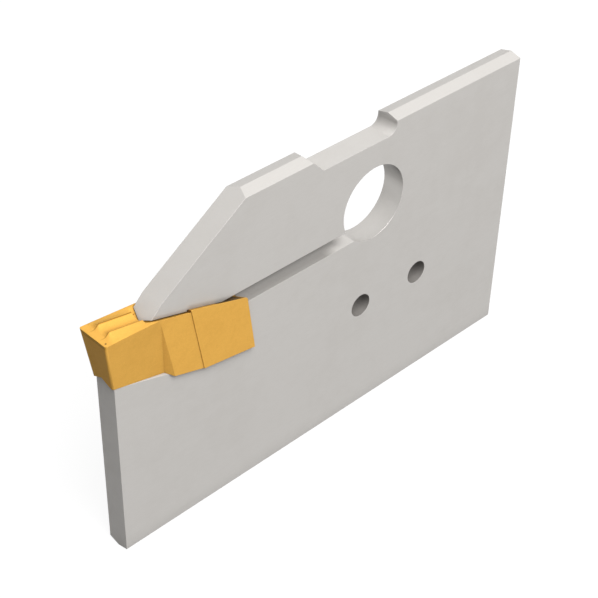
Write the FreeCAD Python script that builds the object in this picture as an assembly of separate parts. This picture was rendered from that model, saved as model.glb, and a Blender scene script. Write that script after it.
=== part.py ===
import FreeCAD, Part
import math
import os

# A lathe parting blade with its carbide insert seated in the front pocket, in millimetres.
# X runs from the blade's front face to its rear end, Y across its thickness and Z up.
# Every place is taken from the front face (x), the mid-plane (y) and the lower ridge (z).
# The bores and the seat are placed down from the upper ridge.
# The insert, the jaw and the slit go by the seat.
# The finished solids are moved so that the origin is the centre of the key bore.
# Angles are in degrees. Sloping lines fall towards the rear, steep ones have their top in front.

# Blade: the flat bar and its two ground ridges.
blade_length = 50.0
blade_height = 32.0
blade_thickness = 2.4
ridge_angle = 15.0

# Blade: the sloped front and the nose of the upper jaw.
slope_start = 14.55
slope_angle = 33.7
slope_run = 9.3
nose_angle = 46.5

# Blade: the relief recess in the upper edge.
recess_start = 22.4
recess_end = 32.82
recess_depth = 1.58
recess_ramp_angle = 45.0
recess_fillet = 1.0

# Blade: the key bore, the slit that frees the jaw, and the two pin bores.
key_bore_diameter = 7.8
key_bore_x = 30.33
key_bore_depth = 8.08
slit_width = 1.49
slit_above_seat = 1.485
pin_bore_diameter = 2.4
pin_bore_spacing = 7.85
pin_bore_x = 29.3
pin_bore_drop = 11.3

# The seat, and the tail's clamping faces and stop, which the blade and the insert share.
# Depths and heights are on the mid-plane. The blade's faces are ridges there, the insert's are grooves.
vee_angle = 26.0
seat_depth = 11.91
seat_angle = 16.5
tail_x = 9.18
tail_seat_angle = 8.3
tail_length = 6.0
tail_rise = 0.225
tail_top_angle = 17.1
step_angle = 10.3
stop_angle = 8.3
# Tail_rise is how far the tail's top stands above the line of the body's top, where the tail starts.

# What the upper jaw leaves free above the insert's body and around its tip.
jaw_gap = 0.1
jaw_step_gap = 0.15

# Insert: the cutting head.
cutting_edge_x = -0.92
cutting_edge_above_seat = 4.66
cutting_edge_width = 3.5
front_relief_angle = 7.1
side_relief_angle = 5.1
back_taper_angle = 1.2
corner_radius = 0.2

# Insert: the waist behind the head, the body and the tail.
waist_x = 4.85
waist_below_edge = 0.75
waist_angle = 11.0
waist_facet_angle = 39.5
body_width = 3.1
body_height = 4.87
body_top_angle = 15.7
tail_width = 3.24
tail_corner_radius = 0.4

# Insert: the chip former, two crests with a channel between them and a scoop outside each.
rake_angle = 4.1
crest_offset = 0.72
crest_rise = 0.45
crest_start_x = -0.25
crest_peak_x = 0.35
crest_end_x = 4.4
channel_depth = 0.35
scoop_depth = 0.1

# Worked out from the sizes above.
half_thickness = blade_thickness / 2
half_head = cutting_edge_width / 2
half_body = body_width / 2
half_tail = tail_width / 2
key_bore_z = blade_height - key_bore_depth
pin_bore_z = key_bore_z - pin_bore_drop
seat_z = blade_height - seat_depth
slit_z = seat_z + slit_above_seat
cutting_edge_z = seat_z + cutting_edge_above_seat
waist_z = cutting_edge_z - waist_below_edge
reach = blade_height


def tangent(angle):
    return math.tan(math.radians(angle))


def vec(x, y, z):
    return FreeCAD.Vector(x, y, z)


def line_at(x, z, fall, lean=0.0):
    """A line in the XZ plane: a point on it at the mid-plane, its fall in degrees towards the rear,
    and how far it rises for each millimetre away from the mid-plane."""
    return x, z, -math.radians(fall), lean


def crossing(first, second, offset=0.0):
    """Where two such lines cross at a distance from the mid-plane."""
    x1, z1, turn1, lean1 = first
    x2, z2, turn2, lean2 = second
    dx = x2 - x1
    dz = (z2 + lean2 * offset) - (z1 + lean1 * offset)
    along = (dx * math.sin(turn2) - dz * math.cos(turn2)) / math.sin(turn2 - turn1)
    return x1 + along * math.cos(turn1), z1 + lean1 * offset + along * math.sin(turn1)


def polygon_face(points):
    return Part.Face(Part.makePolygon(points + points[:1]))


def vee_prism(lines, half_width):
    """A prism between lines taken in order, whose flat faces follow each line's rise or fall with y."""
    def corners(y):
        places = [crossing(lines[i - 1], lines[i], abs(y)) for i in range(len(lines))]
        return [vec(x, y, z) for x, z in places]

    middle = corners(0.0)
    faces = []
    for y in (-half_width, half_width):
        outer = corners(y)
        faces.append(polygon_face(outer))
        for i in range(len(lines)):
            faces.append(polygon_face([middle[i - 1], middle[i], outer[i], outer[i - 1]]))
    return Part.Solid(Part.Shell(faces)).removeSplitter()


def block_beyond(point, normal):
    """A block that holds everything beyond a plane, on the side its normal points to."""
    block = Part.makeBox(2 * reach, 2 * reach, 2 * reach, vec(-reach, -reach, 0))
    block.Placement = FreeCAD.Placement(point, FreeCAD.Rotation(vec(0, 0, 1), normal))
    return block


def cross_hole(diameter, x, z):
    """A round hole through the blade's thickness."""
    return Part.makeCylinder(diameter / 2, 2 * blade_thickness, vec(x, -blade_thickness, z), vec(0, 1, 0))


def placed(shape):
    """The shape in the frame whose origin is the centre of the key bore."""
    result = shape.copy()
    result.translate(vec(-key_bore_x, 0, -key_bore_z))
    return result


# Lines that more than one solid uses. On the seat they fall away from the mid-plane, on the jaw they rise.
vee_lean = tangent(vee_angle)
ridge_drop = half_thickness * tangent(ridge_angle)
side_top = blade_height - ridge_drop
nose_x = slope_start - slope_run
nose_z = side_top - slope_run * tangent(slope_angle)
tail_z = seat_z - tail_x * tangent(seat_angle)
stop_x = tail_x + tail_length * math.cos(math.radians(tail_seat_angle))
stop_z = tail_z - tail_length * math.sin(math.radians(tail_seat_angle))
body_top_z = seat_z - waist_x * tangent(seat_angle) + body_height
tail_top_z = body_top_z - (tail_x - waist_x) * tangent(body_top_angle) + tail_rise
seat_line = line_at(0.0, seat_z, seat_angle, -vee_lean)
tail_seat_line = line_at(tail_x, tail_z, tail_seat_angle, -vee_lean)
stop_line = line_at(stop_x, stop_z, 90.0 - stop_angle)
tail_top_line = line_at(tail_x, tail_top_z, tail_top_angle, vee_lean)
step_line = line_at(tail_x, tail_z, 90.0 - step_angle)
body_top_line = line_at(waist_x, body_top_z, body_top_angle, vee_lean)
jaw_line = line_at(waist_x, body_top_z + jaw_gap, body_top_angle, vee_lean)
nose_line = line_at(nose_x, nose_z, -nose_angle)


def make_plate():
    """The blade's outline across its thickness, trimmed to a bar with a ridge along each long edge."""
    floor = blade_height - recess_depth
    ramp_run = 1 / tangent(recess_ramp_angle)
    foot_x, foot_z = crossing(nose_line, body_top_line)
    round_x = recess_end - recess_fillet
    round_z = floor + recess_fillet
    round_reach = recess_fillet * math.sin(math.radians(45))
    round_middle = (round_x + round_reach, round_z - round_reach)
    up_run = [(0, 0), (blade_length, 0), (blade_length, blade_height), (recess_end, blade_height),
              (recess_end, round_z)]
    down_run = [(round_x, floor), (recess_start + (side_top - floor) * ramp_run, floor),
                (recess_start - ridge_drop * ramp_run, blade_height),
                (slope_start + ridge_drop / tangent(slope_angle), blade_height),
                (nose_x, nose_z), (foot_x, foot_z), (0, foot_z), (0, 0)]

    def corner(point):
        return vec(point[0], -half_thickness, point[1])

    edges = [Part.makeLine(corner(a), corner(b)) for a, b in zip(up_run, up_run[1:])]
    edges.append(Part.Arc(corner(up_run[-1]), corner(round_middle), corner(down_run[0])).toShape())
    edges += [Part.makeLine(corner(a), corner(b)) for a, b in zip(down_run, down_run[1:])]
    plate = Part.Face(Part.Wire(edges)).extrude(vec(0, blade_thickness, 0))

    section = [(-half_thickness, ridge_drop), (0, 0), (half_thickness, ridge_drop),
               (half_thickness, side_top), (0, blade_height), (-half_thickness, side_top)]
    bar = polygon_face([vec(0, y, z) for y, z in section]).extrude(vec(blade_length, 0, 0))
    return plate.common(bar)


def make_pocket():
    """The open pocket: ridged seat, tail seat and stop below, ridged jaw above."""
    mouth_line = line_at(-reach, 0.0, 90.0)
    step_x, step_z = crossing(step_line, tail_top_line)
    jaw_step_line = line_at(step_x - jaw_step_gap, step_z, 90.0 - step_angle)
    return vee_prism([mouth_line, seat_line, tail_seat_line, stop_line, tail_top_line,
                      jaw_step_line, jaw_line], blade_thickness)


def make_slit():
    """The slit, from where the jaw's side edge meets its upper face back to the key bore."""
    top = slit_z + slit_width / 2
    start = crossing(tail_top_line, line_at(0.0, top, 0.0), half_thickness)[0]
    return Part.makeBox(key_bore_x - start, 2 * blade_thickness, slit_width,
                        vec(start, -blade_thickness, top - slit_width))


def make_blade():
    blade = make_plate().cut(make_pocket()).cut(make_slit())
    blade = blade.cut(cross_hole(key_bore_diameter, key_bore_x, key_bore_z))
    for i in range(2):
        blade = blade.cut(cross_hole(pin_bore_diameter, pin_bore_x + i * pin_bore_spacing, pin_bore_z))
    return blade.removeSplitter()


def chip_former():
    """The head under its crests and channel, lofted through cross-sections from the first rise
    of the crests to their end. The rise follows 3t^2 - 2t^3, the fall is straight."""
    def section(x):
        base = cutting_edge_z - (x - cutting_edge_x) * tangent(rake_angle)
        start = min(1.0, (x - crest_start_x) / (crest_peak_x - crest_start_x))
        rise = start * start * (3 - 2 * start)
        fade = min(1.0, (crest_end_x - x) / (crest_end_x - crest_peak_x))
        crest = base + crest_rise * rise * fade
        dip_offset = (crest_offset + half_head) / 2
        dip = (crest + base) / 2 - scoop_depth * rise * fade
        runs = [[(-half_head, base), (-dip_offset, dip), (-crest_offset, crest)],
                [(-crest_offset, crest), (0.0, crest - channel_depth * rise), (crest_offset, crest)],
                [(crest_offset, crest), (dip_offset, dip), (half_head, base)]]
        edges = []
        for run in runs:
            curve = Part.BSplineCurve()
            curve.interpolate([vec(x, y, z) for y, z in run])
            edges.append(curve.toShape())
        under = [(half_head, base), (half_head, 0.0), (-half_head, 0.0), (-half_head, base)]
        edges += [Part.makeLine(vec(x, *a), vec(x, *b)) for a, b in zip(under, under[1:])]
        return Part.Wire(edges)

    rise_steps = 5
    rise_run = (crest_peak_x - crest_start_x) / rise_steps
    stations = [crest_start_x + i * rise_run for i in range(rise_steps + 1)] + [crest_end_x]
    return Part.makeLoft([section(x) for x in stations], True, True)


def side_cuts():
    """What is ground off the block's +Y side: the head down to the waist facet, and the body's side."""
    head_point = vec(cutting_edge_x, half_head, cutting_edge_z)
    head_normal = vec(tangent(back_taper_angle), 1.0, -tangent(side_relief_angle))
    waist_point = vec(waist_x, half_body, waist_z)
    lean = math.radians(waist_angle)
    facet = math.radians(waist_facet_angle)
    waist_down = vec(math.sin(lean), 0, -math.cos(lean))
    facet_inward = vec(-math.cos(facet), -math.sin(facet), 0)
    head = block_beyond(head_point, head_normal)
    before_facet = block_beyond(waist_point, waist_down.cross(facet_inward))
    body = block_beyond(waist_point, vec(0, 1, 0))
    behind_waist = block_beyond(waist_point, vec(math.cos(lean), 0, math.sin(lean)))
    return [head.common(before_facet), body.common(behind_waist)]


def make_tail():
    """The tail, with its upper rear corner rounded."""
    tail = vee_prism([step_line, tail_seat_line, stop_line, tail_top_line], half_tail)
    corners = [vec(x, side * offset, z) for side in (-1, 1) for offset in (0.0, half_tail)
               for x, z in [crossing(stop_line, tail_top_line, offset)]]
    edges = [edge for edge in tail.Edges
             if all(min(v.Point.distanceToPoint(c) for c in corners) < jaw_gap for v in edge.Vertexes)]
    return tail.makeFillet(tail_corner_radius, edges)


def make_insert():
    front_line = line_at(cutting_edge_x, cutting_edge_z, 90.0 - front_relief_angle)
    top_line = line_at(cutting_edge_x, cutting_edge_z, rake_angle)
    lid_line = line_at(0.0, blade_height, 0.0)
    rear_line = line_at(blade_length, 0.0, 90.0)
    tip_line = line_at(crossing(nose_line, jaw_line)[0] - jaw_step_gap, 0.0, 90.0)
    inside_tail_line = line_at(tail_x + tail_length / 2, 0.0, 90.0)

    # Head and body in one block that ends inside the tail, with the chip former and the jaw's groove.
    under = [front_line, seat_line, tail_seat_line, inside_tail_line]
    crest_run = crest_end_x - crest_start_x
    under_former = Part.makeBox(crest_run, 2 * reach, 2 * reach, vec(crest_start_x, -reach, 0))
    former = vee_prism(under + [lid_line], half_head).common(chip_former())
    groove = vee_prism([tip_line, body_top_line, rear_line, lid_line], blade_thickness)
    insert = vee_prism(under + [top_line], half_head).cut(under_former).fuse(former).cut(groove)

    for cut in side_cuts():
        insert = insert.cut(cut).cut(cut.mirror(vec(0, 0, 0), vec(0, 1, 0)))
    insert = insert.removeSplitter()
    # The edges to round are the steep ones that go down from the two cutting corners.
    ends = [vec(cutting_edge_x, side * half_head, cutting_edge_z) for side in (-1, 1)]
    steep = [edge for edge in insert.Edges if edge.BoundBox.ZLength > 2 * edge.BoundBox.XLength]
    below_corners = [edge for edge in steep for end in ends
                     if any(v.Point.distanceToPoint(end) < corner_radius for v in edge.Vertexes)]
    insert = insert.makeFillet(corner_radius, below_corners)
    return insert.fuse(make_tail()).removeSplitter()


os.makedirs("parts", exist_ok=True)
placed(make_blade()).exportStep("parts/blade_body.step")
placed(make_insert()).exportStep("parts/cutting_insert.step")
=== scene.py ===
import bpy, bmesh, math
import numpy as np
from mathutils import Matrix, Vector


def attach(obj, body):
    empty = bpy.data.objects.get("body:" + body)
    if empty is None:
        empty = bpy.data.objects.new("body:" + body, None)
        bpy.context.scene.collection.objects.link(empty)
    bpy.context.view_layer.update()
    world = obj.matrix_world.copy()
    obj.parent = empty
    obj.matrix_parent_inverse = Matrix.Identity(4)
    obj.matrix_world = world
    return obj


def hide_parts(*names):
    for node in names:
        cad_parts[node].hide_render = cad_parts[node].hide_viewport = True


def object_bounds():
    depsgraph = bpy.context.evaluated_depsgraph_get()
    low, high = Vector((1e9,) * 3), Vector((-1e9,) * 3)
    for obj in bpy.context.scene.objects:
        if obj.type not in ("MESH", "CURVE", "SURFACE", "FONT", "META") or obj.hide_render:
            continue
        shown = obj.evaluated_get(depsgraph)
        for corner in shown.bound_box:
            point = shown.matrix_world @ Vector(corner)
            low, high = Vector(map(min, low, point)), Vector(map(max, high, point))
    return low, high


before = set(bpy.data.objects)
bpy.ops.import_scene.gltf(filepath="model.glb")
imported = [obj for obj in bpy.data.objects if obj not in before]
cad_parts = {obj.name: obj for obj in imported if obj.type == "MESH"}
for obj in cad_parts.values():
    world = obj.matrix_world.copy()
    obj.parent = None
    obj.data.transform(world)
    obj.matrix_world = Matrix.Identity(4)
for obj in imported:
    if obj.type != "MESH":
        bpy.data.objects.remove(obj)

cadLow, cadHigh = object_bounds()

# Parting blade with its coated carbide insert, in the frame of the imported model: the origin is the
# centre of the key bore, X runs to the rear end and Z is up. Lengths are in metres, but the materials
# count their places on the part in millimetres.

mm = 0.001


def addNode(tree, kind, values=None, **settings):
    # a node with its settings, and plain numbers on the named or numbered inputs
    node = tree.nodes.new(kind)
    for name, value in settings.items():
        setattr(node, name, value)
    for name, value in (values or {}).items():
        node.inputs[name].default_value = value
    return node


def newGroup(name, inputs, outputs):
    # a shader node group with its sockets, each (name, kind, default)
    group = bpy.data.node_groups.new(name, "ShaderNodeTree")
    for socketName, kind, default in inputs:
        socket = group.interface.new_socket(socketName, in_out="INPUT", socket_type=kind)
        socket.default_value = default
    for socketName, kind in outputs:
        group.interface.new_socket(socketName, in_out="OUTPUT", socket_type=kind)
    return group, group.nodes.new("NodeGroupInput"), group.nodes.new("NodeGroupOutput")


def join(tree, *pairs):
    # links, each from an output to an input
    for source, target in pairs:
        tree.links.new(source, target)


def placeGroup(tree, group, place, values):
    # a shared effect in a material, on its coordinates and with its own values
    node = addNode(tree, "ShaderNodeGroup", values, node_tree=group)
    join(tree, (place, node.inputs["Vector"]))
    return node


def makeGrindGroup():
    # fine lines left by a wheel, where the material squeezes the coordinates along the grinding
    # direction, or else an even grain: noise, with a coarser noise beside it for uneven bands
    group, start, end = newGroup("grindLines", [
        ("Vector", "NodeSocketVector", (0, 0, 0)),
        ("Scale", "NodeSocketFloat", 30.0),
        ("Detail", "NodeSocketFloat", 4.0)],
        [("Lines", "NodeSocketFloat"), ("Bands", "NodeSocketFloat")])
    lines = addNode(group, "ShaderNodeTexNoise", {"Roughness": 0.62, "Distortion": 0.15})
    bands = addNode(group, "ShaderNodeTexNoise", {"Detail": 2.0, "Roughness": 0.5})
    slower = addNode(group, "ShaderNodeMath", {1: 0.14}, operation="MULTIPLY")
    join(group,
         (start.outputs["Vector"], lines.inputs["Vector"]),
         (start.outputs["Scale"], lines.inputs["Scale"]),
         (start.outputs["Detail"], lines.inputs["Detail"]),
         (start.outputs["Vector"], bands.inputs["Vector"]),
         (start.outputs["Scale"], slower.inputs[0]),
         (slower.outputs[0], bands.inputs["Scale"]),
         (lines.outputs["Fac"], end.inputs["Lines"]),
         (bands.outputs["Fac"], end.inputs["Bands"]))
    return group


def makeWearGroup():
    # edge wear: how far a rounded normal leans from the true one, sharpened, and broken up by noise
    group, start, end = newGroup("edgeWear", [
        ("Vector", "NodeSocketVector", (0, 0, 0)),
        ("Width", "NodeSocketFloat", 0.0001),
        ("Spread", "NodeSocketFloat", 6.0),
        ("Breaks", "NodeSocketFloat", 4.0)],
        [("Mask", "NodeSocketFloat")])
    rounded = addNode(group, "ShaderNodeBevel", samples=6)
    plain = addNode(group, "ShaderNodeNewGeometry")
    lean = addNode(group, "ShaderNodeVectorMath", operation="DOT_PRODUCT")
    away = addNode(group, "ShaderNodeMath", {0: 1.0}, operation="SUBTRACT", use_clamp=True)
    spread = addNode(group, "ShaderNodeMath", operation="MULTIPLY", use_clamp=True)
    noise = addNode(group, "ShaderNodeTexNoise", {"Detail": 5.0, "Roughness": 0.6})
    patchy = addNode(group, "ShaderNodeMapRange", {"From Min": 0.32, "From Max": 0.62, "To Min": 0.35})
    mask = addNode(group, "ShaderNodeMath", operation="MULTIPLY", use_clamp=True)
    join(group,
         (start.outputs["Width"], rounded.inputs["Radius"]),
         (rounded.outputs["Normal"], lean.inputs[0]),
         (plain.outputs["Normal"], lean.inputs[1]),
         (lean.outputs["Value"], away.inputs[1]),
         (away.outputs[0], spread.inputs[0]),
         (start.outputs["Spread"], spread.inputs[1]),
         (start.outputs["Vector"], noise.inputs["Vector"]),
         (start.outputs["Breaks"], noise.inputs["Scale"]),
         (noise.outputs["Fac"], patchy.inputs["Value"]),
         (spread.outputs[0], mask.inputs[0]),
         (patchy.outputs["Result"], mask.inputs[1]),
         (mask.outputs[0], end.inputs["Mask"]))
    return group


def makeHandledGroup():
    # faint clouds of oil and handling: two sizes of soft noise multiplied
    group, start, end = newGroup("handledClouds", [
        ("Vector", "NodeSocketVector", (0, 0, 0)),
        ("Scale", "NodeSocketFloat", 0.12),
        ("From", "NodeSocketFloat", 0.35),
        ("To", "NodeSocketFloat", 0.7)],
        [("Clouds", "NodeSocketFloat")])
    large = addNode(group, "ShaderNodeTexNoise", {"Detail": 3.0, "Roughness": 0.55, "Distortion": 0.4})
    small = addNode(group, "ShaderNodeTexNoise", {"Detail": 6.0, "Roughness": 0.65})
    finer = addNode(group, "ShaderNodeMath", {1: 5.3}, operation="MULTIPLY")
    both = addNode(group, "ShaderNodeMath", operation="MULTIPLY")
    doubled = addNode(group, "ShaderNodeMath", {1: 2.0}, operation="MULTIPLY")
    ranged = addNode(group, "ShaderNodeMapRange")
    join(group,
         (start.outputs["Vector"], large.inputs["Vector"]),
         (start.outputs["Vector"], small.inputs["Vector"]),
         (start.outputs["Scale"], large.inputs["Scale"]),
         (start.outputs["Scale"], finer.inputs[0]),
         (finer.outputs[0], small.inputs["Scale"]),
         (large.outputs["Fac"], both.inputs[0]),
         (small.outputs["Fac"], both.inputs[1]),
         (both.outputs[0], doubled.inputs[0]),
         (doubled.outputs[0], ranged.inputs["Value"]),
         (start.outputs["From"], ranged.inputs["From Min"]),
         (start.outputs["To"], ranged.inputs["From Max"]),
         (ranged.outputs["Result"], end.inputs["Clouds"]))
    return group


def makeCreaseGroup():
    # painted shade in creases: what nearby surfaces hide, times a gain, a little uneven with noise
    group, start, end = newGroup("creaseShade", [
        ("Vector", "NodeSocketVector", (0, 0, 0)),
        ("Reach", "NodeSocketFloat", 0.0003),
        ("Gain", "NodeSocketFloat", 1.5),
        ("Breaks", "NodeSocketFloat", 1.5)],
        [("Mask", "NodeSocketFloat")])
    openness = addNode(group, "ShaderNodeAmbientOcclusion", samples=8)
    hidden = addNode(group, "ShaderNodeMath", {0: 1.0}, operation="SUBTRACT", use_clamp=True)
    noise = addNode(group, "ShaderNodeTexNoise", {"Detail": 4.0, "Roughness": 0.6})
    uneven = addNode(group, "ShaderNodeMapRange", {"From Min": 0.3, "From Max": 0.65, "To Min": 0.75})
    gained = addNode(group, "ShaderNodeMath", operation="MULTIPLY", use_clamp=True)
    mask = addNode(group, "ShaderNodeMath", operation="MULTIPLY", use_clamp=True)
    join(group,
         (start.outputs["Reach"], openness.inputs["Distance"]),
         (openness.outputs["AO"], hidden.inputs[1]),
         (hidden.outputs[0], gained.inputs[0]),
         (start.outputs["Gain"], gained.inputs[1]),
         (start.outputs["Vector"], noise.inputs["Vector"]),
         (start.outputs["Breaks"], noise.inputs["Scale"]),
         (noise.outputs["Fac"], uneven.inputs["Value"]),
         (gained.outputs[0], mask.inputs[0]),
         (uneven.outputs["Result"], mask.inputs[1]),
         (mask.outputs[0], end.inputs["Mask"]))
    return group


def makeBorePairGroup():
    # 1 inside two round bores side by side, or one where the spacing is 0, and 0 outside, on X and Z in
    # millimetres: the distance to the nearer axis is
    # sqrt((|x - middle x| - half spacing)^2 + (z - middle z)^2)
    group, start, end = newGroup("borePair", [
        ("Vector", "NodeSocketVector", (0, 0, 0)),
        ("Middle X", "NodeSocketFloat", 0.0),
        ("Middle Z", "NodeSocketFloat", 0.0),
        ("Half Spacing", "NodeSocketFloat", 4.0),
        ("Radius", "NodeSocketFloat", 1.2)],
        [("Mask", "NodeSocketFloat")])
    parts = addNode(group, "ShaderNodeSeparateXYZ")
    across = addNode(group, "ShaderNodeMath", operation="SUBTRACT")
    folded = addNode(group, "ShaderNodeMath", operation="ABSOLUTE")
    toAxis = addNode(group, "ShaderNodeMath", operation="SUBTRACT")
    upward = addNode(group, "ShaderNodeMath", operation="SUBTRACT")
    offset = addNode(group, "ShaderNodeCombineXYZ")
    distance = addNode(group, "ShaderNodeVectorMath", operation="LENGTH")
    inside = addNode(group, "ShaderNodeMath", operation="LESS_THAN")
    join(group,
         (start.outputs["Vector"], parts.inputs["Vector"]),
         (parts.outputs["X"], across.inputs[0]),
         (start.outputs["Middle X"], across.inputs[1]),
         (across.outputs[0], folded.inputs[0]),
         (folded.outputs[0], toAxis.inputs[0]),
         (start.outputs["Half Spacing"], toAxis.inputs[1]),
         (parts.outputs["Z"], upward.inputs[0]),
         (start.outputs["Middle Z"], upward.inputs[1]),
         (toAxis.outputs[0], offset.inputs["X"]),
         (upward.outputs[0], offset.inputs["Z"]),
         (offset.outputs["Vector"], distance.inputs[0]),
         (distance.outputs["Value"], inside.inputs[0]),
         (start.outputs["Radius"], inside.inputs[1]),
         (inside.outputs[0], end.inputs["Mask"]))
    return group


def makeLinePairGroup():
    # 1 on two lines along X, one at each side of the mid-plane, 0 away from them, in millimetres:
    # 1 - ||y| - offset| / half width, times a rise from start to full on x, above a height on z
    group, start, end = newGroup("linePair", [
        ("Vector", "NodeSocketVector", (0, 0, 0)),
        ("Offset", "NodeSocketFloat", 0.7),
        ("Half Width", "NodeSocketFloat", 0.05),
        ("Start X", "NodeSocketFloat", 0.0),
        ("Full X", "NodeSocketFloat", 1.0),
        ("Above", "NodeSocketFloat", 0.0)],
        [("Mask", "NodeSocketFloat")])
    parts = addNode(group, "ShaderNodeSeparateXYZ")
    folded = addNode(group, "ShaderNodeMath", operation="ABSOLUTE")
    offLine = addNode(group, "ShaderNodeMath", operation="SUBTRACT")
    away = addNode(group, "ShaderNodeMath", operation="ABSOLUTE")
    fade = addNode(group, "ShaderNodeMapRange", {"From Min": 0.0, "To Min": 1.0, "To Max": 0.0})
    window = addNode(group, "ShaderNodeMapRange")
    high = addNode(group, "ShaderNodeMath", operation="GREATER_THAN")
    ended = addNode(group, "ShaderNodeMath", operation="MULTIPLY")
    mask = addNode(group, "ShaderNodeMath", operation="MULTIPLY")
    join(group,
         (start.outputs["Vector"], parts.inputs["Vector"]),
         (parts.outputs["Y"], folded.inputs[0]),
         (folded.outputs[0], offLine.inputs[0]),
         (start.outputs["Offset"], offLine.inputs[1]),
         (offLine.outputs[0], away.inputs[0]),
         (away.outputs[0], fade.inputs["Value"]),
         (start.outputs["Half Width"], fade.inputs["From Max"]),
         (parts.outputs["X"], window.inputs["Value"]),
         (start.outputs["Start X"], window.inputs["From Min"]),
         (start.outputs["Full X"], window.inputs["From Max"]),
         (parts.outputs["Z"], high.inputs[0]),
         (start.outputs["Above"], high.inputs[1]),
         (fade.outputs["Result"], ended.inputs[0]),
         (window.outputs["Result"], ended.inputs[1]),
         (ended.outputs[0], mask.inputs[0]),
         (high.outputs[0], mask.inputs[1]),
         (mask.outputs[0], end.inputs["Mask"]))
    return group


def makeSoftBoxGroup():
    # 1 in a box, 0 outside, fading over a distance inside each face, in millimetres. Both halves of the
    # part are alike, so y counts as |y|. On each axis: min(p - low, high - p) / fade, held between 0 and
    # 1, and the three are multiplied
    group, start, end = newGroup("softBox", [
        ("Vector", "NodeSocketVector", (0, 0, 0)),
        ("Low", "NodeSocketVector", (0, 0, 0)),
        ("High", "NodeSocketVector", (1, 1, 1)),
        ("Fade", "NodeSocketVector", (1, 1, 1))],
        [("Mask", "NodeSocketFloat")])
    parts = addNode(group, "ShaderNodeSeparateXYZ")
    half = addNode(group, "ShaderNodeMath", operation="ABSOLUTE")
    folded = addNode(group, "ShaderNodeCombineXYZ")
    fromLow = addNode(group, "ShaderNodeVectorMath", operation="SUBTRACT")
    toHigh = addNode(group, "ShaderNodeVectorMath", operation="SUBTRACT")
    least = addNode(group, "ShaderNodeVectorMath", operation="MINIMUM")
    faded = addNode(group, "ShaderNodeVectorMath", operation="DIVIDE")
    notOver = addNode(group, "ShaderNodeVectorMath", {1: (1, 1, 1)}, operation="MINIMUM")
    held = addNode(group, "ShaderNodeVectorMath", {1: (0, 0, 0)}, operation="MAXIMUM")
    axes = addNode(group, "ShaderNodeSeparateXYZ")
    two = addNode(group, "ShaderNodeMath", operation="MULTIPLY")
    mask = addNode(group, "ShaderNodeMath", operation="MULTIPLY")
    join(group,
         (start.outputs["Vector"], parts.inputs["Vector"]),
         (parts.outputs["X"], folded.inputs["X"]),
         (parts.outputs["Y"], half.inputs[0]),
         (half.outputs[0], folded.inputs["Y"]),
         (parts.outputs["Z"], folded.inputs["Z"]),
         (folded.outputs["Vector"], fromLow.inputs[0]),
         (start.outputs["Low"], fromLow.inputs[1]),
         (start.outputs["High"], toHigh.inputs[0]),
         (folded.outputs["Vector"], toHigh.inputs[1]),
         (fromLow.outputs["Vector"], least.inputs[0]),
         (toHigh.outputs["Vector"], least.inputs[1]),
         (least.outputs["Vector"], faded.inputs[0]),
         (start.outputs["Fade"], faded.inputs[1]),
         (faded.outputs["Vector"], notOver.inputs[0]),
         (notOver.outputs["Vector"], held.inputs[0]),
         (held.outputs["Vector"], axes.inputs["Vector"]),
         (axes.outputs["X"], two.inputs[0]),
         (axes.outputs["Y"], two.inputs[1]),
         (two.outputs[0], mask.inputs[0]),
         (axes.outputs["Z"], mask.inputs[1]),
         (mask.outputs[0], end.inputs["Mask"]))
    return group


grindLines = makeGrindGroup()
edgeWear = makeWearGroup()
handledClouds = makeHandledGroup()
creaseShade = makeCreaseGroup()
borePair = makeBorePairGroup()
linePair = makeLinePairGroup()
softBox = makeSoftBoxGroup()
print("stage: shared effects ready")


def startMaterial(name):
    # a material with its shader, and Object coordinates counted in millimetres
    material = bpy.data.materials.new(name)
    material.use_nodes = True
    tree = material.node_tree
    tree.nodes.clear()
    shader = addNode(tree, "ShaderNodeBsdfPrincipled")
    out = addNode(tree, "ShaderNodeOutputMaterial")
    place = addNode(tree, "ShaderNodeTexCoord")
    inMm = addNode(tree, "ShaderNodeMapping", {"Scale": (1 / mm,) * 3})
    join(tree,
         (shader.outputs["BSDF"], out.inputs["Surface"]),
         (place.outputs["Object"], inMm.inputs["Vector"]))
    return material, tree, shader, inMm.outputs["Vector"]


def blendColour(tree, factor, first, second):
    # a colour between two, each a plain colour or a socket: the node's colours are its inputs 6 and 7
    # and its output 2
    node = addNode(tree, "ShaderNodeMix", data_type="RGBA")
    join(tree, (factor, node.inputs["Factor"]))
    for value, socket in ((first, node.inputs[6]), (second, node.inputs[7])):
        if isinstance(value, tuple):
            socket.default_value = (*value, 1.0)
        else:
            join(tree, (value, socket))
    return node.outputs[2]


def layColours(tree, colour, layers):
    # colours laid over the first, each by a mask times an amount
    for mask, amount, over in layers:
        part = addNode(tree, "ShaderNodeMath", {1: amount}, operation="MULTIPLY")
        join(tree, (mask, part.inputs[0]))
        colour = blendColour(tree, part.outputs[0], colour, over)
    return colour


def toRange(tree, socket, limits):
    # a number brought from one range to another and held at its ends, 0 to 1 unless the limits say more
    node = addNode(tree, "ShaderNodeMapRange", limits)
    join(tree, (socket, node.inputs["Value"]))
    return node.outputs["Result"]


def addUp(tree, base, parts):
    # base plus each socket times its amount
    total = None
    for socket, amount in parts:
        step = addNode(tree, "ShaderNodeMath", {1: amount, 2: base}, operation="MULTIPLY_ADD")
        join(tree, (socket, step.inputs[0]))
        if total is not None:
            join(tree, (total, step.inputs[2]))
        total = step.outputs[0]
    return total


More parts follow.
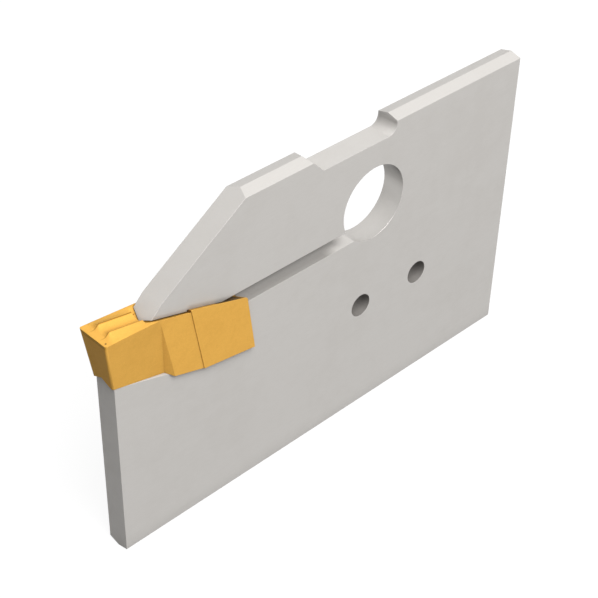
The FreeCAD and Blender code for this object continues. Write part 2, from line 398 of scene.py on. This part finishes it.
steelLook = {
    "ground": (0.575, 0.555, 0.53),      # fine-ground side
    "groundDull": (0.52, 0.50, 0.475),   # where grinding bands lie denser
    "handled": (0.50, 0.475, 0.445),     # faint oil clouds
    "worn": (0.66, 0.64, 0.615),         # bright metal along edges
    "paintedShade": (0.13, 0.12, 0.11),          # painted shade in creases, the slit and the bores
    "metallic": 0.1,
    "specular": 0.35,
    "roughness": 0.46,
    "squeeze": (0.05, 1.0, 1.0),         # grinding lines run along X
    "grind": {"Scale": 22.0, "Detail": 4.0},    # lines per millimetre, about
    "lineLimits": {"From Min": 0.3, "From Max": 0.7, "To Max": 0.45},
    "bandLimits": {"From Min": 0.35, "From Max": 0.65},
    "bandRoughness": 0.07,
    "bump": 0.045,
    "bumpDepth": 0.02 * mm,
    "clouds": {"Scale": 0.11, "From": 0.38, "To": 0.72},
    "cloudAmount": 0.2,
    "cloudRoughness": 0.06,
    "wear": {"Width": 0.10 * mm, "Spread": 5.0, "Breaks": 1.4},
    "wearAmount": 0.2,
    "wearRoughness": -0.12,
    "crease": {"Reach": 0.45 * mm, "Gain": 1.1, "Breaks": 1.2},
    "creaseAmount": 0.75,
    # the same shade, fainter, in the slit and the bores
    "deep": {"Reach": 2.0 * mm, "Gain": 0.6, "Breaks": 0.5},
    "deepAmount": 0.6,
    # painted shade in the slit, darkest near both sides and thinning out before the key bore
    "slit": {"Low": (-17.0, 0.1, -3.11), "High": (-4.6, 2.0, -1.58), "Fade": (1.4, 0.6, 0.005)},
    "slitShade": 0.55,
    # painted shade on the walls of the pin bores
    "pinBores": {"Middle X": 2.895, "Middle Z": -11.3, "Half Spacing": 3.925, "Radius": 1.215},
    "pinBoreShade": 0.85,
    # the key bore's wall, which is smoother and mirrors more than the sides, with painted shade over its
    # top
    "keyBore": {"Half Spacing": 0.0, "Radius": 3.93},
    "keyBoreMetallic": 0.55,
    "keyBoreRoughness": -0.12,
    "boreTop": {"Low": (-3.95, -1.0, -0.3), "High": (3.95, 1.195, 6.4), "Fade": (0.1, 0.02, 2.5)},
    "boreTopShade": 0.88,
}


def makeSteel(look):
    # fine-ground steel, rubbed bright at its edges, with painted shade in its creases, slit and bores
    material, tree, shader, place = startMaterial("groundSteel")
    squeezed = addNode(tree, "ShaderNodeMapping", {"Scale": look["squeeze"]})
    join(tree, (place, squeezed.inputs["Vector"]))
    grind = placeGroup(tree, grindLines, squeezed.outputs["Vector"], look["grind"])
    clouds = placeGroup(tree, handledClouds, place, look["clouds"])
    wear = placeGroup(tree, edgeWear, place, look["wear"])
    crease = placeGroup(tree, creaseShade, place, look["crease"])
    deep = placeGroup(tree, creaseShade, place, look["deep"])
    slit = placeGroup(tree, softBox, place, look["slit"])
    pinBores = placeGroup(tree, borePair, place, look["pinBores"])
    keyBore = placeGroup(tree, borePair, place, look["keyBore"])
    boreTop = placeGroup(tree, softBox, place, look["boreTop"])
    lines = toRange(tree, grind.outputs["Lines"], look["lineLimits"])
    bands = toRange(tree, grind.outputs["Bands"], look["bandLimits"])
    colour = blendColour(tree, lines, look["ground"], look["groundDull"])
    # the deep, crease, slit, bore-top and pin-bore layers are painted shade
    colour = layColours(tree, colour, [
        (clouds.outputs["Clouds"], look["cloudAmount"], look["handled"]),
        (wear.outputs["Mask"], look["wearAmount"], look["worn"]),
        (deep.outputs["Mask"], look["deepAmount"], look["paintedShade"]),
        (crease.outputs["Mask"], look["creaseAmount"], look["paintedShade"]),
        (slit.outputs["Mask"], look["slitShade"], look["paintedShade"]),
        (boreTop.outputs["Mask"], look["boreTopShade"], look["paintedShade"]),
        (pinBores.outputs["Mask"], look["pinBoreShade"], look["paintedShade"])])
    roughness = addUp(tree, look["roughness"], [
        (bands, look["bandRoughness"]),
        (clouds.outputs["Clouds"], look["cloudRoughness"]),
        (wear.outputs["Mask"], look["wearRoughness"]),
        (keyBore.outputs["Mask"], look["keyBoreRoughness"])])
    metallic = addUp(tree, look["metallic"], [(keyBore.outputs["Mask"], look["keyBoreMetallic"])])
    bump = addNode(tree, "ShaderNodeBump", {"Strength": look["bump"], "Distance": look["bumpDepth"]})
    join(tree,
         (colour, shader.inputs["Base Color"]),
         (roughness, shader.inputs["Roughness"]),
         (metallic, shader.inputs["Metallic"]),
         (grind.outputs["Lines"], bump.inputs["Height"]),
         (bump.outputs["Normal"], shader.inputs["Normal"]))
    shader.inputs["Specular IOR Level"].default_value = look["specular"]
    return material


coatLook = {
    "coat": (0.85, 0.472, 0.097),        # gold-coloured coating
    "coatDeep": (0.68, 0.35, 0.07),      # slightly thicker or shaded grain
    "coatPale": (0.86, 0.53, 0.15),      # rubbed, honed edges
    "shaded": (0.20, 0.10, 0.025),       # painted shade in creases
    "metallic": 0.05,
    "specular": 0.02,
    "roughness": 0.44,
    "grain": {"Scale": 14.0, "Detail": 6.0},    # sintered grains per millimetre, about
    "grainLimits": {"From Min": 0.35, "From Max": 0.7, "To Max": 0.5},
    "grainRoughness": 0.08,
    "cells": {"Scale": 22.4},            # finer pits between the grains
    "cellHeight": 0.6,
    "bump": 0.12,
    "bumpDepth": 0.02 * mm,
    "clouds": {"Scale": 0.45, "From": 0.36, "To": 0.74},
    "cloudAmount": 0.3,
    "cloudRoughness": 0.07,
    "wear": {"Width": 0.05 * mm, "Spread": 4.0, "Breaks": 3.0},
    "wearAmount": 0.3,
    "wearRoughness": -0.10,
    "crease": {"Reach": 0.60 * mm, "Gain": 1.6, "Breaks": 2.0},
    "creaseAmount": 0.8,
    # a painted shade line along each crest of the chip former, which fades in towards the rear
    "crests": {"Offset": 0.69, "Half Width": 0.085,
               "Start X": -31.05, "Full X": -30.15, "Above": 0.2},
    "crestShadeTone": (0.26, 0.12, 0.015),
    "crestDark": 0.95,
    # a darker band on the front face, right under the cutting edge
    "band": {"Low": (-32.0, -1.0, 0.42), "High": (-31.12, 3.0, 0.84), "Fade": (0.03, 0.1, 0.06)},
    "bandTone": (0.42, 0.22, 0.02),
    "bandDark": 0.45,
    # painted shade on the tail's upper face, where it shows in the slit
    "tail": {"Low": (-19.5, -1.0, -4.2), "High": (-16.1, 1.605, -1.0), "Fade": (0.3, 0.015, 0.2)},
    "tailShadeTone": (0.06, 0.035, 0.01),
    "tailDark": 0.9,
    # the small dark mark beside the near cutting corner: its place, and how far from it the mark ends
    # and is full, in millimetres
    "speckAt": (-30.92, -1.34, 0.80),
    "speckLimits": {"From Min": 0.10625, "From Max": 0.068},
    "speckTone": (0.20, 0.10, 0.03),
}


def makeCoat(look):
    # a thin gold-coloured coating on sintered carbide, whose fine grain shows in colour and relief, with
    # painted shade in creases, along the crests and on the tail in the slit
    material, tree, shader, place = startMaterial("coatedCarbide")
    grain = placeGroup(tree, grindLines, place, look["grain"])
    clouds = placeGroup(tree, handledClouds, place, look["clouds"])
    wear = placeGroup(tree, edgeWear, place, look["wear"])
    crease = placeGroup(tree, creaseShade, place, look["crease"])
    crests = placeGroup(tree, linePair, place, look["crests"])
    band = placeGroup(tree, softBox, place, look["band"])
    tail = placeGroup(tree, softBox, place, look["tail"])
    cells = addNode(tree, "ShaderNodeTexVoronoi", look["cells"])
    fromSpeck = addNode(tree, "ShaderNodeVectorMath", {1: look["speckAt"]}, operation="DISTANCE")
    join(tree,
         (place, cells.inputs["Vector"]),
         (place, fromSpeck.inputs[0]))
    grains = toRange(tree, grain.outputs["Lines"], look["grainLimits"])
    speck = toRange(tree, fromSpeck.outputs["Value"], look["speckLimits"])
    colour = blendColour(tree, grains, look["coat"], look["coatDeep"])
    # the crease, crest and tail layers are painted shade
    colour = layColours(tree, colour, [
        (clouds.outputs["Clouds"], look["cloudAmount"], look["coatDeep"]),
        (wear.outputs["Mask"], look["wearAmount"], look["coatPale"]),
        (crease.outputs["Mask"], look["creaseAmount"], look["shaded"]),
        (crests.outputs["Mask"], look["crestDark"], look["crestShadeTone"]),
        (band.outputs["Mask"], look["bandDark"], look["bandTone"]),
        (tail.outputs["Mask"], look["tailDark"], look["tailShadeTone"])])
    colour = blendColour(tree, speck, colour, look["speckTone"])
    roughness = addUp(tree, look["roughness"], [
        (grain.outputs["Bands"], look["grainRoughness"]),
        (clouds.outputs["Clouds"], look["cloudRoughness"]),
        (wear.outputs["Mask"], look["wearRoughness"])])
    height = addNode(tree, "ShaderNodeMath", {1: look["cellHeight"]}, operation="MULTIPLY_ADD")
    bump = addNode(tree, "ShaderNodeBump", {"Strength": look["bump"], "Distance": look["bumpDepth"]})
    join(tree,
         (cells.outputs["Distance"], height.inputs[0]),
         (grain.outputs["Lines"], height.inputs[2]),
         (height.outputs[0], bump.inputs["Height"]),
         (bump.outputs["Normal"], shader.inputs["Normal"]),
         (colour, shader.inputs["Base Color"]),
         (roughness, shader.inputs["Roughness"]))
    shader.inputs["Metallic"].default_value = look["metallic"]
    shader.inputs["Specular IOR Level"].default_value = look["specular"]
    return material


groundSteel = makeSteel(steelLook)
coatedCarbide = makeCoat(coatLook)
print("stage: materials ready")


bladeShape = {
    "name": "groundBlade",
    "node": "blade_body",
    "slot": "blade_steel",
    "edge": 0.028 * mm,                  # width of the broken edges
}

insertShape = {
    "name": "coatedInsert",
    "node": "cutting_insert",
    "slot": "coated_carbide",
    "edge": 0.014 * mm,                  # honed edge
}

edgeFinish = {
    "mergeWithin": 0.0002 * mm,          # corners that are nearer than this are one
    "flatWithin": 0.3,                   # degrees between the triangles of a flat face
    "foldAngle": 20.0,                   # a sharper fold than this is an edge
    "segments": 2,
    "faceWeight": 100,                   # large faces keep their own normals
}


def finishedCopy(shape, material, finish):
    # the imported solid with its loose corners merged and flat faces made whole; every edge that folds by
    # more than the fold angle is broken by a small bevel, and gentler folds are shaded smooth
    solid = bmesh.new()
    solid.from_mesh(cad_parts[shape["node"]].data)
    bmesh.ops.remove_doubles(solid, verts=solid.verts, dist=finish["mergeWithin"])
    bmesh.ops.dissolve_limit(solid, angle_limit=math.radians(finish["flatWithin"]),
                             verts=solid.verts, edges=solid.edges)
    for face in solid.faces:
        face.smooth = True
    mesh = bpy.data.meshes.new(shape["name"])
    solid.to_mesh(mesh)
    solid.free()
    piece = bpy.data.objects.new(shape["name"], mesh)
    bpy.context.scene.collection.objects.link(piece)
    mesh.materials.append(material)
    bevel = piece.modifiers.new("brokenEdges", "BEVEL")
    bevel.limit_method = "ANGLE"
    bevel.angle_limit = math.radians(finish["foldAngle"])
    bevel.width = shape["edge"]
    bevel.segments = finish["segments"]
    bevel.use_clamp_overlap = False
    bevel.miter_outer = "MITER_ARC"
    even = piece.modifiers.new("flatFacesFirst", "WEIGHTED_NORMAL")
    even.mode = "FACE_AREA"
    even.weight = finish["faceWeight"]
    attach(piece, "root")
    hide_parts(shape["node"])


finishedCopy(bladeShape, groundSteel, edgeFinish)
finishedCopy(insertShape, coatedCarbide, edgeFinish)
print("stage: blade and insert dressed")


def seenRays(tree):
    # 1 for rays from the camera, off gloss and through glass, 0 for the rays that light the object
    path = addNode(tree, "ShaderNodeLightPath")
    direct = addNode(tree, "ShaderNodeMath", operation="MAXIMUM")
    seen = addNode(tree, "ShaderNodeMath", operation="MAXIMUM")
    join(tree,
         (path.outputs["Is Camera Ray"], direct.inputs[0]),
         (path.outputs["Is Glossy Ray"], direct.inputs[1]),
         (direct.outputs[0], seen.inputs[0]),
         (path.outputs["Is Transmission Ray"], seen.inputs[1]))
    return seen.outputs[0]


floorLook = {
    "half": 1.5,                         # half the floor's side
    "squares": 8,                        # squares along a side
    "colour": (0.12, 0.12, 0.12),
    "roughness": 0.9,
    "shown": 0.92,                       # brings the lit floor up to white in the camera's view
}


def makeFloor(look):
    # a flat sheet on a grid of u, v from -1 to 1: x = half u, y = half v, at the blade's lowest ridge
    count = look["squares"] + 1
    steps = np.linspace(-1.0, 1.0, count)
    u, v = np.meshgrid(steps, steps)
    height = np.full_like(u, cadLow.z)
    points = np.stack([u * look["half"], v * look["half"], height], -1).reshape(-1, 3)
    row = np.arange(count - 1)[:, None] * count + np.arange(count - 1)
    faces = np.stack([row, row + 1, row + count + 1, row + count], -1).reshape(-1, 4)
    mesh = bpy.data.meshes.new("paleFloor")
    mesh.from_pydata(points.tolist(), [], faces.tolist())
    floor = bpy.data.objects.new("paleFloor", mesh)
    bpy.context.scene.collection.objects.link(floor)
    material = bpy.data.materials.new("paleFloor")
    material.use_nodes = True
    tree = material.node_tree
    shader = tree.nodes["Principled BSDF"]
    shader.inputs["Base Color"].default_value = (*look["colour"], 1.0)
    shader.inputs["Roughness"].default_value = look["roughness"]
    shader.inputs["Specular IOR Level"].default_value = 0.0
    shader.inputs["Emission Color"].default_value = (1.0, 1.0, 1.0, 1.0)
    strength = addNode(tree, "ShaderNodeMath", {1: look["shown"]}, operation="MULTIPLY")
    join(tree,
         (seenRays(tree), strength.inputs[0]),
         (strength.outputs[0], shader.inputs["Emission Strength"]))
    mesh.materials.append(material)


def makeWorld(ambient):
    # white where the camera and reflections look, and a weaker even light on the object
    world = bpy.data.worlds.new("softWorld")
    world.use_nodes = True
    tree = world.node_tree
    background = tree.nodes["Background"]
    background.inputs["Color"].default_value = (1.0, 1.0, 1.0, 1.0)
    level = toRange(tree, seenRays(tree), {"To Min": ambient, "To Max": 1.0})
    join(tree, (level, background.inputs["Strength"]))
    bpy.context.scene.world = world


lampLook = {
    "keyFrom": (-0.045, -0.29, 0.42),    # where the large soft lamp stands
    "keySize": 0.40,
    "keyPower": 4.3,
    "ambient": 0.12,                     # even light from all around
}


def makeLamp(name, place, size, power):
    # a square lamp that looks at the origin
    lamp = bpy.data.lights.new(name, "AREA")
    lamp.shape = "SQUARE"
    lamp.size = size
    lamp.energy = power
    holder = bpy.data.objects.new(name, lamp)
    holder.location = place
    holder.rotation_euler = (-Vector(place)).to_track_quat("-Z", "Y").to_euler()
    bpy.context.scene.collection.objects.link(holder)


cameraPlace = {
    "at": (-0.082786, -0.075330, 0.075450),
    "right": (0.72063, -0.69305, 0.01906),
    "down": (-0.41625, -0.45447, -0.78752),
    "forward": (0.55446, 0.55958, -0.61599),
    "focal": 1465.3,                     # in pixels of the photograph
    "photoSide": 598,                    # the photograph is square, this many pixels a side
    "sensor": 36.0,                      # the sensor's width in millimetres
    "near": 0.005,                       # nothing nearer or farther than these is drawn
    "far": 10.0,
}


def makeCamera(place):
    # the photograph's own camera: its turn has the picture's right, up and back as columns
    data = bpy.data.cameras.new("photoCamera")
    data.sensor_width = place["sensor"]
    data.lens = place["focal"] * place["sensor"] / place["photoSide"]
    data.clip_start, data.clip_end = place["near"], place["far"]
    camera = bpy.data.objects.new("photoCamera", data)
    columns = [Vector(place["right"]), -Vector(place["down"]), -Vector(place["forward"])]
    turn = Matrix([[column[i] for column in columns] for i in range(3)])
    camera.matrix_world = Matrix.Translation(place["at"]) @ turn.to_4x4()
    bpy.context.scene.collection.objects.link(camera)
    bpy.context.scene.camera = camera


makeFloor(floorLook)
makeWorld(lampLook["ambient"])
makeLamp("keyLamp", lampLook["keyFrom"], lampLook["keySize"], lampLook["keyPower"])
makeCamera(cameraPlace)
bpy.context.scene.view_settings.view_transform = "Standard"
print("stage: floor, light and camera ready")
